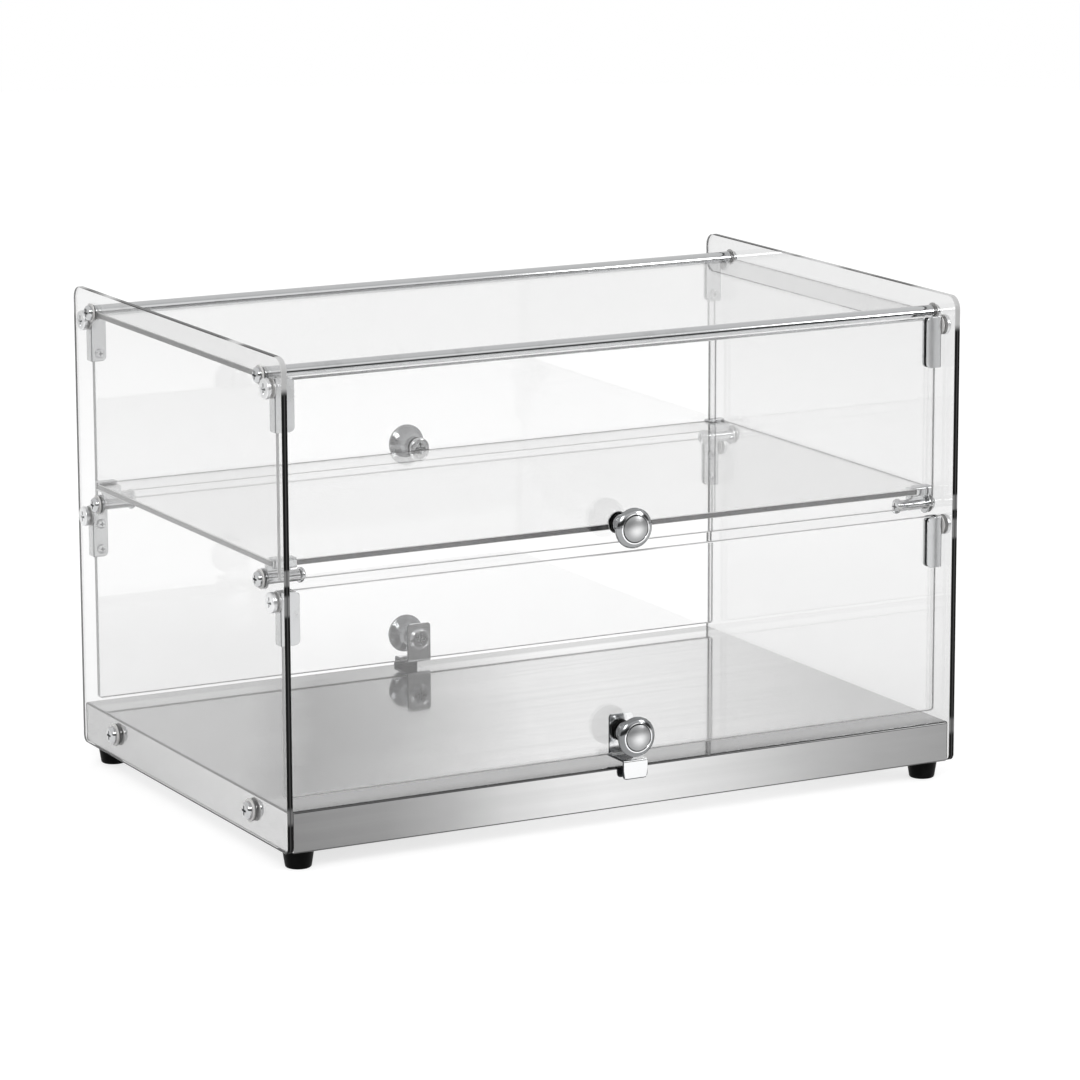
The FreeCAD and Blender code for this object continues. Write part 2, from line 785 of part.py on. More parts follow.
def make_clip_liners(door):
    lengths = []
    for number, hand in enumerate(ends(1), start=1):
        body = start_body(f"{door['name']}_liner_{number}")
        sketch = draw_on(body, "XY_Plane", "door_rise")
        face = f"({CLIP_FACE} - clip_web)"
        channel(sketch, hand, face, "clip_width - clip_web - clip_corner", "liner", SLOT_HALF, "liner")
        pad(body, sketch, "clip_height", back=True)
        lengths.append(body)
    compound = doc.addObject("Part::Compound", f"{door['name']}_clip_liners")
    compound.Label = f"{door['name']}_clip_liners"
    compound.Links = lengths
    place(compound, y=f"{door['end']} * {door['set']}", z=door["pivot"], turn=door["turn"])
    finish(compound)


def make_knob(door):
    body = start_body(f"{door['name']}_knob")
    sketch = draw_on(body, "XY_Plane")
    back = "(-glass / 2 - knob_washer_thickness)"
    crest = f"{back} - knob_depth + knob_crown"
    outline(
        sketch,
        [
            ("0", f"{back} - knob_tap_depth"),
            ("knob_shank / 2 + screw_gap", f"{back} - knob_tap_depth"),
            ("knob_shank / 2 + screw_gap", back),
            ("knob_foot / 2", back),
            ("knob_foot / 2", f"{back} - knob_foot_depth"),
            ("knob_neck / 2", f"{back} - knob_waist_depth", "knob_flare", -1),
            ("knob_rim / 2", f"{back} - knob_rim_depth"),
            ("knob_rim / 2", f"{back} - knob_rim_depth - knob_rim_band", "knob_shoulder", -1),
            ("knob_ring / 2", f"{crest} + knob_ring_slope"),
            ("knob_face / 2 + knob_groove", crest),
            ("knob_face / 2 + knob_groove", f"{crest} + knob_groove_depth"),
            ("knob_face / 2", f"{crest} + knob_groove_depth"),
            ("knob_face / 2", crest, "knob_dome", -1),
            ("0", f"{back} - knob_depth"),
        ],
    )
    revolve(body, sketch, "V_Axis")
    put_at_knob(body, door)


def put_at_knob(piece, door):
    """Places a piece that is made about the knob's axis, at the middle of the door's glass."""
    place(piece, y=f"{door['end']} * {door['set']}", z=f"{door['pivot']} + ({door['knob']})", turn=door["turn"])
    finish(piece)


def make_knob_washer(door):
    body = start_body(f"{door['name']}_knob_washer")
    sketch = draw_on(body, "XZ_Plane", "glass / 2")
    circle(sketch, "knob_washer")
    circle(sketch, "knob_shank + 2 * screw_gap")
    pad(body, sketch, "knob_washer_thickness")
    put_at_knob(body, door)


def make_knob_screw(door):
    length = f"({door['sheet']} + glass + knob_washer_thickness + knob_thread)"
    body = screw(
        f"{door['name']}_knob_screw", "knob_shank", length, "knob_head", "knob_head_height", "knob_head_dome"
    )
    turn = FreeCAD.Rotation(UP, door["turn"] - 90)
    y = f"{door['end']} * ({door['set']} - glass / 2 - {door['sheet']})"
    z = f"{door['pivot']} + ({door['knob']})"
    place(body, y=y, z=z, turn=math.degrees(turn.Angle), axis=turn.Axis)
    finish(body)


def make_stop_plate(door):
    """A strip bent twice: up the inner face of the glass, out under the door, and down before the base."""
    body = start_body(f"{door['name']}_stop_plate")
    inner = "(glass / 2 + plate_sheet)"
    front = f"-({BASE_DEPTH} / 2 + plate_gap - {door['set']})"
    under = f"(-{door['drop']} - seat_gap)"
    top = f"({door['knob']} + plate_rise)"
    sketch = draw_on(body, "YZ_Plane")
    outline(
        sketch,
        [
            ("glass / 2", top),
            ("glass / 2", under),
            (f"{front} - plate_sheet", under),
            (f"{front} - plate_sheet", f"{under} - plate_lip"),
            (front, f"{under} - plate_lip"),
            (front, f"{under} - plate_sheet"),
            (inner, f"{under} - plate_sheet"),
            (inner, top),
        ],
    )
    pad(body, sketch, "plate_width", middle=True)
    low, high = value(f"{under} - plate_lip"), value(top)
    soften(
        body,
        "plate_corner",
        lambda edge: runs_along(edge, 1) and (near(edge.CenterOfMass.z, low) or near(edge.CenterOfMass.z, high)),
    )
    leg, fold = value(under), value(f"{under} - plate_sheet")
    soften(
        body,
        "plate_bend",
        lambda edge: runs_along(edge, 0) and (near(edge.CenterOfMass.z, leg) or near(edge.CenterOfMass.z, fold)),
    )
    hole = draw_on(body, "XZ_Plane")
    circle(hole, "knob_shank + 2 * screw_gap", y=door["knob"])
    pocket(body, hole, f"{inner} + overrun")
    put_on_door(body, door)


def make_doors():
    pivot_length = "(bush_proud + run_gap + glass + bush_flange_thickness + run_gap + clip_web)"
    pivot = screw(
        "pivot_screw", "pivot_shank", pivot_length, "pivot_head", "pivot_head_height", "pivot_dome"
    )
    clamp = screw(
        "clamp_screw", "clamp_shank", "clip_leg", "clamp_head", "clamp_head_height", "clamp_dome"
    )
    tiers = (
        ("upper", UPPER_DOOR_Y, UPPER_PIVOT_Z, UPPER_DOOR_DROP, ("clamp_low",)),
        ("lower", LOWER_DOOR_Y, LOWER_PIVOT_Z, LOWER_DOOR_DROP, ("clamp_low", "clamp_high")),
    )
    for depth_name, end, turn in (("front", -1, 0), ("rear", 1, 180)):
        for tier, set_back, pivot_z, drop, clamps in tiers:
            door = {
                "name": f"{depth_name}_{tier}_door",
                "end": end,
                "turn": turn,
                "set": set_back,
                "pivot": pivot_z,
                "drop": drop,
                "knob": f"({tier}_knob_rise - {drop})",
                "clamps": clamps,
                "sheet": "plate_sheet" if tier == "lower" else "0",
            }
            make_door(door, pivot, clamp)


def make_door(door, pivot, clamp):
    make_door_pane(door)
    for side_name, hand in (("left", 1), ("right", -1)):
        make_door_clip(door, side_name, hand)
    make_clip_liners(door)
    spots = [spot for hand in ends(1) for spot in clamp_spots(door, hand)]
    places = [(x, CLIP_HALF, z, -90, UP) for x, z in spots]
    group_on_door(f"{door['name']}_clamp_screws", clamp, door, places)
    outside = "(case_width / 2 + bush_proud + run_gap)"
    places = [(f"-{outside}", "0", "0", 0, UP), (outside, "0", "0", 180, UP)]
    group_on_door(f"{door['name']}_pivot_screws", pivot, door, places)
    make_knob(door)
    make_knob_washer(door)
    make_knob_screw(door)
    if door["sheet"] != "0":
        make_stop_plate(door)


def write(pieces):
    """Stops on any failed object or bad shape, and otherwise writes each sub-part's shape to its file."""
    doc.recompute()
    for thing in doc.Objects:
        if "Invalid" in thing.State or "Error" in thing.State:
            raise RuntimeError(f"{thing.Label} failed")
    for piece in pieces:
        if piece.Shape.isNull() or not piece.Shape.isValid() or not piece.Shape.Solids:
            raise RuntimeError(f"{piece.Label} has no valid solid")
    os.makedirs("parts", exist_ok=True)
    for piece in pieces:
        piece.Shape.exportStep(f"parts/{piece.Label}.step")


make_base_tray()
make_side_panes()
top_depth = f"(2 * {ROD_Y} - rod_diameter + 2 * groove_depth - 2 * seat_gap)"
make_flat_pane("top_pane", f"2 * ({INNER_HALF} - seat_gap)", top_depth, "arris", f"{ROD_Z} - groove_drop")
make_flat_pane("shelf_pane", f"2 * ({INNER_HALF} - shelf_side_gap)", SHELF_DEPTH, "shelf_corner", SHELF_BOTTOM)
make_rod("front_top_rod", -1)
make_rod("rear_top_rod", 1)
make_shelf_clips()
make_case_fasteners()
make_feet()
make_pivot_bushes()
make_doors()
write(nodes)
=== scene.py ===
import math
from typing import NamedTuple

import bmesh
import bpy
from mathutils import Matrix, Vector


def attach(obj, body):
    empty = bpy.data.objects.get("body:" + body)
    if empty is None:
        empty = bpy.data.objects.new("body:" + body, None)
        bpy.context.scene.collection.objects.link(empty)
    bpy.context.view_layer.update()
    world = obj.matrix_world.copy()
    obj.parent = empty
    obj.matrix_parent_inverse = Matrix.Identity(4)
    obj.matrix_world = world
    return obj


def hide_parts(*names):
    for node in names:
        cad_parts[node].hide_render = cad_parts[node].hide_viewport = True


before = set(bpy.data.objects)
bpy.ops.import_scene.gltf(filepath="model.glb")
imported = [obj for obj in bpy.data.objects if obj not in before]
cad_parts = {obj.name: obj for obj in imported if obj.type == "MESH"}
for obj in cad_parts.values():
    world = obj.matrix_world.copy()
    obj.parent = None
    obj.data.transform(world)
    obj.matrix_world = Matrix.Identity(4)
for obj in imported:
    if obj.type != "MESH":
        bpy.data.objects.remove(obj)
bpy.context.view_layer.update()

# Pieces are modelled in millimetres and brought to metres when they are added.
MM = 0.001
SIDES = (("left", -1), ("right", 1))
ENDS = (("front", -1), ("rear", 1))
PANE_INSIDE = 246
PANE_OUTSIDE = 250
# Middles of the rods, of the shelf clips' barrels and of the base screws, as depth and height
ROD = (136.25, 318.3)
BARREL = (132.5, 186.5)
BASE_SCREW = (111, 30)
BARREL_LENGTH = 22
# Middle of a foot, as width and depth
FOOT = (235, 150.5)
FOOT_SINK = 5
PANE_WASHER = 1
BASE_WASHER = 1.2
KNOB_WASHER = 2
HALF_GLASS = 2
STOP_SHEET = 1.5
# A door clip's outside, mouth and inner wall from the middle of the case, and its half thickness
CLIP_OUTSIDE = 244.9
CLIP_MOUTH = 233.9
CLIP_WALL = 242.4
CLIP_HALF = 4.3
# Keeps a piece off the glass it touches, so that both show as they should
OFF = 0.05
# Turns a piece made along X to stand along Z, with its Y to X and its Z to Y
UPRIGHT = Matrix(((0, 1, 0, 0), (0, 0, 1, 0), (1, 0, 0, 0), (0, 0, 0, 1)))


class Tier(NamedTuple):
    """Where a tier's doors are: distance from the middle of the case, then heights."""

    set_back: float
    pivot: float
    bottom: float
    knob: float
    clamps: tuple


TIERS = {
    "upper": Tier(148, 311.5, 187.5, 200.5, (288.5,)),
    "lower": Tier(152, 175.1, 46.5, 61.5, (152.1, 169.6)),
}


# Nodes

class Level:
    """A value in a node tree. Arithmetic on it adds Math nodes."""

    def __init__(self, nodes, socket):
        self.nodes = nodes
        self.socket = socket

    def math(self, operation, first, second):
        return self.nodes.add("ShaderNodeMath", {"operation": operation}, {0: first, 1: second})

    def __add__(self, other):
        return self.math("ADD", self, other)

    def __radd__(self, other):
        return self.math("ADD", other, self)

    def __sub__(self, other):
        return self.math("SUBTRACT", self, other)

    def __rsub__(self, other):
        return self.math("SUBTRACT", other, self)

    def __mul__(self, other):
        return self.math("MULTIPLY", self, other)

    def __rmul__(self, other):
        return self.math("MULTIPLY", other, self)

    def __abs__(self):
        return self.math("ABSOLUTE", self, 0)

    def top(self, other):
        return self.math("MAXIMUM", self, other)

    def beside(self, output):
        """Gives another output of the node that this value comes from."""
        return Level(self.nodes, self.socket.node.outputs[output])


class Nodes:
    """The node tree of a finish or of the world."""

    def __init__(self, owner):
        owner.use_nodes = True
        self.tree = owner.node_tree

    def add(self, kind, settings={}, sockets={}, output=0):
        """Adds a node: its settings first, then its sockets' values or links. Gives one of its outputs."""
        node = self.tree.nodes.new(kind)
        for name, setting in settings.items():
            if name == "stops":
                self.set_stops(node.color_ramp, setting)
            else:
                setattr(node, name, setting)
        self.fill(node, sockets)
        return Level(self, node.outputs[output])

    def set_stops(self, ramp, stops):
        while len(ramp.elements) < len(stops):
            ramp.elements.new(1)
        for element, (position, level) in zip(ramp.elements, stops):
            element.position = position
            element.color = grey(level)

    def fill(self, node, sockets):
        for name, content in sockets.items():
            if isinstance(content, Level):
                self.tree.links.new(content.socket, node.inputs[name])
            else:
                node.inputs[name].default_value = content

    def place(self):
        return self.add("ShaderNodeTexCoord", output="Object")

    def axes(self, *names):
        """Gives the piece's own place along the named axes."""
        parts = self.add("ShaderNodeSeparateXYZ", {}, {0: self.place()})
        return [parts.beside(name) for name in names]

    def facing(self, axis):
        """Gives how squarely a face looks along an axis, from 0 to 1."""
        normal = self.add("ShaderNodeNewGeometry", output="Normal")
        return abs(self.add("ShaderNodeSeparateXYZ", {}, {0: normal}, output=axis))

    def grain(self, scale, stretch=(1, 1, 1), detail=4, roughness=0.55):
        """Noise on the piece's own place, stretched along an axis where that axis has a small number."""
        place = self.add("ShaderNodeMapping", {}, {"Vector": self.place(), "Scale": stretch})
        return self.add(
            "ShaderNodeTexNoise",
            {},
            {"Vector": place, "Scale": scale, "Detail": detail, "Roughness": roughness},
        )

    def between(self, value, low, high, start=0, end=1):
        """Eases from start to end while a value goes from low to high."""
        return self.add(
            "ShaderNodeMapRange",
            {"interpolation_type": "SMOOTHSTEP"},
            {"Value": value, "From Min": low, "From Max": high, "To Min": start, "To Max": end},
        )

    def blend(self, share, first, second):
        """Mixes two colours by a share."""
        return self.add(
            "ShaderNodeMix", {"data_type": "RGBA"}, {0: share, 6: first, 7: second}, output=2
        )

    def bump(self, height, strength, distance):
        return self.add(
            "ShaderNodeBump", {}, {"Height": height, "Strength": strength, "Distance": distance * MM}
        )


def grey(level, cool=0):
    """A grey as written, turned towards blue by a cool above 0 and towards yellow by one below it."""
    return (level - cool, level, level + cool, 1)


def start_finish(name):
    material = bpy.data.materials.new(name)
    nodes = Nodes(material)
    return material, nodes, nodes.tree.nodes["Principled BSDF"]


# Finishes

def make_pane_glass(name, light, dark, index=1.46):
    """Clear float glass, a little uneven in its tint, with a few wiping smears."""
    material, nodes, shader = start_finish(name)
    cloud = nodes.between(nodes.grain(3.5, detail=2), 0.35, 0.65)
    smear = nodes.between(nodes.grain(10, (1, 1, 0.3), 6), 0.6, 0.8)
    nodes.fill(
        shader,
        {
            "Base Color": nodes.blend(cloud, grey(light), grey(dark)),
            "Roughness": smear * 0.012,
            "Transmission Weight": 1,
            "IOR": index,
        },
    )
    return material


def make_side_edge_painted_light(name, dark, pale):
    """The polished edges of a side pane, painted black as painted shade for the light trapped in the glass,
    with a painted paler line along the middle. They carry painted pale reflections where the rods, the
    shelf clips, the lower pivots and the tray show in them, and painted grey at the rear."""
    material, nodes, shader = start_finish(name)
    across, depth, height = nodes.axes("X", "Y", "Z")
    # Painted pale reflections of the rods, the shelf clips, the lower pivots and the tray, and painted grey
    # at the rear, over a painted black
    corner = nodes.between(abs(depth), 0.156, 0.159)
    patch = nodes.between(nodes.grain(17, detail=2), 0.52, 0.7)
    rods = patch.top(corner) * nodes.between(height, 0.309, 0.315)
    shelf = nodes.between(abs(height - 0.193), 0.004, 0.006, 0.45, 0)
    pivot = nodes.between(abs(height - 0.175), 0.005, 0.008, 0.4, 0)
    tray = nodes.between(abs(height - 0.038), 0.003, 0.007, 0.35, 0)
    rear = nodes.between(depth, 0.16, 0.165) * nodes.between(height + across * 0.3, 0.235, 0.255, 0.35, 0)
    shown = rods.top(shelf.top(pivot).top(tray) * corner).top(rear)
    colour = nodes.blend(shown, grey(dark), grey(pale))
    # A painted paler line along the middle of the edge
    line = nodes.between(abs(abs(across) - 0.248), 0.0002, 0.0006, 0.8, 0)
    middle = line * nodes.between(rods, 0, 0.5, 1, 0)
    nodes.fill(
        shader,
        {
            "Base Color": nodes.blend(middle, colour, grey(0.07)),
            "Roughness": nodes.grain(220) * 0.12 + 0.12,
            "Specular IOR Level": 0.05,
        },
    )
    return material


def make_frosted_edge_painted_glow(name, light, dark, clear):
    """A fine-ground edge that lets out some of the light held in its pane; its faces that look up and down
    are painted near white as painted light.
    """
    material, nodes, shader = start_finish(name)
    patch = nodes.between(nodes.grain(14, detail=3), 0.4, 0.62)
    # Painted light: faces that look up or down are painted near white
    level = nodes.between(nodes.facing("Z"), 0.4, 0.6, 0, 0.9)
    nodes.fill(
        shader,
        {
            "Base Color": nodes.blend(level, nodes.blend(patch, grey(light), grey(dark)), grey(0.98)),
            "Roughness": nodes.grain(260) * 0.2 + 0.3,
            "Transmission Weight": clear,
            "IOR": 1.3,
        },
    )
    return material


def make_shelf_edge_painted_shade(name):
    """The shelf's polished edge, with painted shade: dark at the middle of the front, paler to both sides
    and at the ends.
    """
    material, nodes, shader = start_finish(name)
    (across,) = nodes.axes("X")
    # Painted shade along the front, painted light on the pale ends
    ends = nodes.between(abs(across), 0.2435, 0.2442)
    front = nodes.blend(nodes.between(abs(across + 0.03), 0.02, 0.1), grey(0.05), grey(0.15))
    mottle = nodes.blend(nodes.between(nodes.grain(30), 0.4, 0.7, 0, 0.3), front, grey(0.1))
    nodes.fill(
        shader,
        {
            "Base Color": nodes.blend(ends, mottle, grey(0.32)),
            "Roughness": nodes.grain(220) * 0.12 + 0.12,
            "Specular IOR Level": 0.3,
        },
    )
    return material


def make_arris_painted_light(name, level):
    """The ground strip where an edge meets a face, painted paler along level edges as painted light."""
    material, nodes, shader = start_finish(name)
    chip = nodes.between(nodes.grain(900, detail=2), 0.45, 0.7)
    # Painted light on the strips that look up or down
    flat = nodes.between(nodes.facing("Z"), 0.2, 0.5, 0, 0.8)
    nodes.fill(
        shader,
        {
            "Base Color": nodes.blend(flat, nodes.blend(chip, grey(level), grey(level * 1.25)), grey(0.95)),
            "Roughness": nodes.grain(500) * 0.2 + 0.35,
            "Normal": nodes.bump(nodes.grain(1500), 0.3, 0.05),
        },
    )
    return material


def make_brushed_steel_painted_sheen(name):
    """Stainless sheet brushed along X, with a painted sheen from end to end, slanted over the deck, painted
    duller bands along the front and the rear, and folds painted dark as painted shade."""
    material, nodes, shader = start_finish(name)
    line = nodes.grain(1, (4, 900, 900), 3)
    streak = nodes.grain(1, (1.2, 140, 140), 4)
    across, depth = nodes.axes("X", "Y")
    ripple = nodes.grain(5, (1, 2, 2), 2) * 0.08 + 0.46
    # Painted sheen: the colour follows ramps, bright about the middle and slanted over the deck, in place of
    # a reflection
    slant = (across - depth * 0.53) * 1.6 + ripple
    sheet = nodes.add("ShaderNodeValToRGB", {"stops": PAINTED_DECK_SHEEN}, {"Fac": slant})
    wall = nodes.add("ShaderNodeValToRGB", {"stops": PAINTED_WALL_SHEEN}, {"Fac": across * 2 + ripple})
    # Painted shade: a duller band before the doors and darker bands along the front and the rear of the deck
    lip = nodes.between(depth, -0.135, -0.12, 0.85, 0)
    painted_shade_strips = nodes.between(depth, -0.165, -0.15, 0.65, 0).top(nodes.between(depth, 0.148, 0.153, 0, 0.5))
    dull = nodes.between(across, -0.1, 0.15, 0.42, 0.5)
    deck = nodes.blend(painted_shade_strips, nodes.blend(lip, sheet, dull), grey(0.25))
    level = nodes.facing("Z")
    # Painted sheen on the ends, brighter towards the front
    ends = nodes.between(depth, -0.15, 0.15, 0.83, 0.62)
    upright = nodes.blend(nodes.between(nodes.facing("X"), 0.6, 0.8), wall, ends)
    sheen = nodes.blend(nodes.between(level, 0.5, 0.85), upright, deck)
    # Painted shade: the folds are painted nearly black
    fold = nodes.between(level, 0.25, 0.45) * nodes.between(level, 0.9, 0.97, 1, 0)
    sheen = nodes.blend(fold, sheen, grey(0.07))
    nodes.fill(
        shader,
        {
            "Base Color": nodes.blend(nodes.between(streak, 0.35, 0.75, 0, 0.14), sheen, grey(0.4)),
            "Metallic": 1,
            "Roughness": streak * 0.05 + line * 0.03 + 0.03,
            "Normal": nodes.bump(line, 0.08, 0.02),
        },
    )
    return material


def make_chrome(name, level, rough):
    """Bright plating with faint polishing lines and a few handling marks."""
    material, nodes, shader = start_finish(name)
    mark = nodes.between(nodes.grain(60, detail=5), 0.52, 0.75)
    line = nodes.grain(1, (90, 1400, 1400), 2)
    nodes.fill(
        shader,
        {
            "Base Color": nodes.blend(mark, grey(level, 0.006), grey(level * 0.9, 0.004)),
            "Metallic": 1,
            "Roughness": mark * 0.07 + line * 0.04 + rough,
            "Normal": nodes.bump(line, 0.03, 0.01),
        },
    )
    return material


def make_satin(name, level, rough):
    """Metal with a fine matt blast."""
    material, nodes, shader = start_finish(name)
    blast = nodes.grain(2200, detail=2)
    cloud = nodes.between(nodes.grain(120), 0.35, 0.65)
    nodes.fill(
        shader,
        {
            "Base Color": nodes.blend(cloud, grey(level, 0.004), grey(level * 0.92, 0.004)),
            "Metallic": 1,
            "Roughness": cloud * 0.06 + blast * 0.08 + rough,
            "Normal": nodes.bump(blast, 0.12, 0.02),
        },
    )
    return material


def make_knob_face(name, middle, rim):
    """A satin dome with fine rings and a painted highlight that makes it brighter towards its middle."""
    material, nodes, shader = start_finish(name)
    reach = nodes.add("ShaderNodeAttribute", {"attribute_name": "reach"}, output="Fac")
    ring = nodes.add("ShaderNodeMath", {"operation": "SINE"}, {0: reach * 30})
    blast = nodes.grain(2200, detail=2)
    # Painted highlight: brighter at the middle of the dome, darker towards its rim
    colour = nodes.blend(nodes.between(reach, 0.5, 8), grey(middle, 0.004), grey(rim, 0.004))
    nodes.fill(
        shader,
        {
            "Base Color": nodes.blend(nodes.between(blast, 0.4, 0.7, 0, 0.15), colour, grey(rim, 0.004)),
            "Metallic": 1,
            "Roughness": blast * 0.08 + ring * 0.02 + 0.32,
            "Normal": nodes.bump(blast, 0.1, 0.02),
        },
    )
    return material


def make_rubber(name):
    """Black moulded rubber with a fine grain and a dusty bloom."""
    material, nodes, shader = start_finish(name)
    bloom = nodes.between(nodes.grain(160, detail=5), 0.45, 0.7)
    pore = nodes.grain(1800, detail=2)
    nodes.fill(
        shader,
        {
            "Base Color": nodes.blend(bloom, grey(0.002), grey(0.006)),
            "Roughness": bloom * 0.16 + 0.4,
            "Specular IOR Level": 0.05,
            "Normal": nodes.bump(pore, 0.18, 0.04),
        },
    )
    return material


def make_nylon(name, level, clear):
    """Milky nylon that lets some light through."""
    material, nodes, shader = start_finish(name)
    cloud = nodes.between(nodes.grain(200, detail=4), 0.35, 0.65)
    nodes.fill(
        shader,
        {
            "Base Color": nodes.blend(cloud, grey(level, -0.01), grey(level * 0.94, -0.012)),
            "Roughness": cloud * 0.12 + 0.28,
            "Transmission Weight": clear,
            "IOR": 1.5,
            "Normal": nodes.bump(nodes.grain(700), 0.08, 0.03),
        },
    )
    return material


# Painted sheen of the tray from its left end to its right, dull at both ends and bright about the middle
PAINTED_DECK_SHEEN = [
    (0, 0.48), (0.17, 0.46), (0.25, 0.16), (0.34, 0.31), (0.4, 0.49), (0.53, 0.94), (0.6, 1), (0.72, 0.9),
    (0.79, 0.84), (0.93, 0.62), (1, 0.6),
]
PAINTED_WALL_SHEEN = [
    (0, 0.22), (0.13, 0.28), (0.22, 0.41), (0.3, 0.59), (0.38, 0.71), (0.46, 0.76), (0.54, 0.74),
    (0.62, 0.66), (0.78, 0.43), (0.87, 0.35), (1, 0.29),
]
LEFT_GLASS = make_pane_glass("left_pane_glass", 0.87, 0.86)
RIGHT_GLASS = make_pane_glass("right_pane_glass", 0.8, 0.79)
TOP_GLASS = make_pane_glass("top_pane_glass", 0.88, 0.87)
SHELF_GLASS = make_pane_glass("shelf_glass", 0.93, 0.92)
DOOR_GLASS = {
    "front_upper_door": make_pane_glass("front_upper_glass", 0.97, 0.96, 1.6),
    "front_lower_door": make_pane_glass("front_lower_glass", 0.985, 0.975, 1.8),
    "rear_upper_door": make_pane_glass("rear_upper_glass", 0.97, 0.96, 1.8),
    "rear_lower_door": make_pane_glass("rear_lower_glass", 0.985, 0.975, 1.7),
}
# Side-pane edges painted black as painted shade, with painted pale reflections
SIDE_EDGE_PAINTED = make_side_edge_painted_light("side_pane_edge_painted", 0.006, 0.5)
SIDE_ARRIS_PAINTED = make_side_edge_painted_light("side_pane_arris_painted", 0.02, 0.6)
SHELF_EDGE_PAINTED_SHADE = make_shelf_edge_painted_shade("shelf_edge")
# Frosted edges painted near white where they look up or down, a painted light
TOP_EDGE = make_frosted_edge_painted_glow("top_pane_edge", 0.5, 0.4, 0.7)
DOOR_EDGE = make_frosted_edge_painted_glow("door_edge", 0.8, 0.7, 0.5)
HOLE_WALL = make_frosted_edge_painted_glow("hole_wall", 0.95, 0.9, 0.4)
PALE_ARRIS = make_arris_painted_light("door_arris", 0.5)
BRUSHED_STEEL_PAINTED_SHEEN = make_brushed_steel_painted_sheen("brushed_steel_painted_sheen")
CHROME = make_chrome("chrome_plate", 0.54, 0.04)
CLIP_CHROME = make_chrome("clip_plate", 0.6, 0.22)
# Knob plating painted darker than the other chrome as painted shade, darker on the lower knobs
KNOB_CHROME_SHADED = {
    "upper": make_chrome("upper_knob_plate_shaded", 0.33, 0.1),
    "lower": make_chrome("lower_knob_plate_shaded", 0.25, 0.1),
}
# The knob's ring is plated brighter than real chrome, a painted highlight
KNOB_RING_HIGHLIGHT = make_chrome("knob_ring", 0.92, 0.05)
PLATED = make_chrome("plated_screw", 0.56, 0.06)
# Cross recesses painted dark as painted shade, less dark in the knob screws
RECESS_SHADE = make_satin("screw_recess", 0.1, 0.35)
KNOB_RECESS_SHADE = make_satin("knob_screw_recess", 0.35, 0.35)
PIVOT = make_satin("turned_end", 0.8, 0.3)
POLISHED = make_chrome("polished_sheet", 0.86, 0.08)
# Near black as painted shade on the stop plate's edges, underside and back
CUT_EDGE_SHADE = make_satin("cut_edge_shade", 0.06, 0.3)
# Near black as painted shade in the door clips' corners and channel
CLIP_CORNER_SHADE = make_satin("clip_corner", 0.08, 0.3)
KNOB_FACE_HIGHLIGHT = make_knob_face("satin_knob_face_highlight", 0.85, 0.36)
# The knob's groove painted nearly black as painted shade
GROOVE_SHADE = make_satin("knob_groove", 0.05, 0.4)
RUBBER = make_rubber("black_rubber")
NYLON = make_nylon("milky_nylon", 0.9, 0.25)


# Ways of making a piece

def turned(profile, steps=48):
    """Spins a profile of (along, radius) points about X."""
    bm = bmesh.new()
    points = [bm.verts.new((along, radius, 0)) for along, radius in profile]
    lines = [bm.edges.new(pair) for pair in zip(points, points[1:])]
    bmesh.ops.spin(
        bm, geom=points + lines, cent=(0, 0, 0), axis=(1, 0, 0), angle=math.tau, steps=steps, use_merge=True
    )
    bmesh.ops.remove_doubles(bm, verts=bm.verts, dist=0.0005)
    bmesh.ops.recalc_face_normals(bm, faces=bm.faces)
    return bm


def strip(outline, width):
    """Draws an outline of (y, z) points and pulls it along X, with its middle at X 0."""
    bm = bmesh.new()
    face = bm.faces.new([bm.verts.new((-width / 2, y, z)) for y, z in outline])
    pulled = bmesh.ops.extrude_face_region(bm, geom=[face])["geom"]
    moved = [part for part in pulled if isinstance(part, bmesh.types.BMVert)]
    bmesh.ops.translate(bm, verts=moved, vec=(width, 0, 0))
    bmesh.ops.recalc_face_normals(bm, faces=bm.faces)
    return bm


def bevel(bm, edges, radius, segments):
    bmesh.ops.bevel(
        bm,
        geom=edges,
        offset=radius,
        offset_type="OFFSET",
        segments=segments,
        profile=0.5,
        affect="EDGES",
        material=-1,
        clamp_overlap=True,
    )


def edges_at(bm, axis, spots):
    """Gives the edges along an axis whose middle is at one of the spots, in the other two directions."""
    others = [other for other in range(3) if other != axis]
    found = []
    for edge in bm.edges:
        ends = [vert.co for vert in edge.verts]
        run = ends[1] - ends[0]
        if abs(run[axis]) < 0.99 * run.length:
            continue
        middle = (ends[0] + ends[1]) / 2
        if any(all(abs(middle[other] - spot[k]) < 0.01 for k, other in enumerate(others)) for spot in spots):
            found.append(edge)
    return found


def soften(bm, radius, segments=2, angle=50):
    """Rounds every edge that is sharper than an angle."""
    sharp = [edge for edge in bm.edges if edge.is_manifold and edge.calc_face_angle() > math.radians(angle)]
    bevel(bm, sharp, radius, segments)


def move(bm, matrix):
    bmesh.ops.transform(bm, matrix=matrix, verts=bm.verts)
    return bm


def join(bm, other):
    """Puts another piece's faces into this one."""
    held = bpy.data.meshes.new("held")
    other.to_mesh(held)
    other.free()
    bm.from_mesh(held)
    bpy.data.meshes.remove(held)


def repeat(pattern, places):
    """Puts a copy of a pattern at each place."""
    bm = bmesh.new()
    for place in places:
        join(bm, move(pattern.copy(), place))
    pattern.free()
    return bm


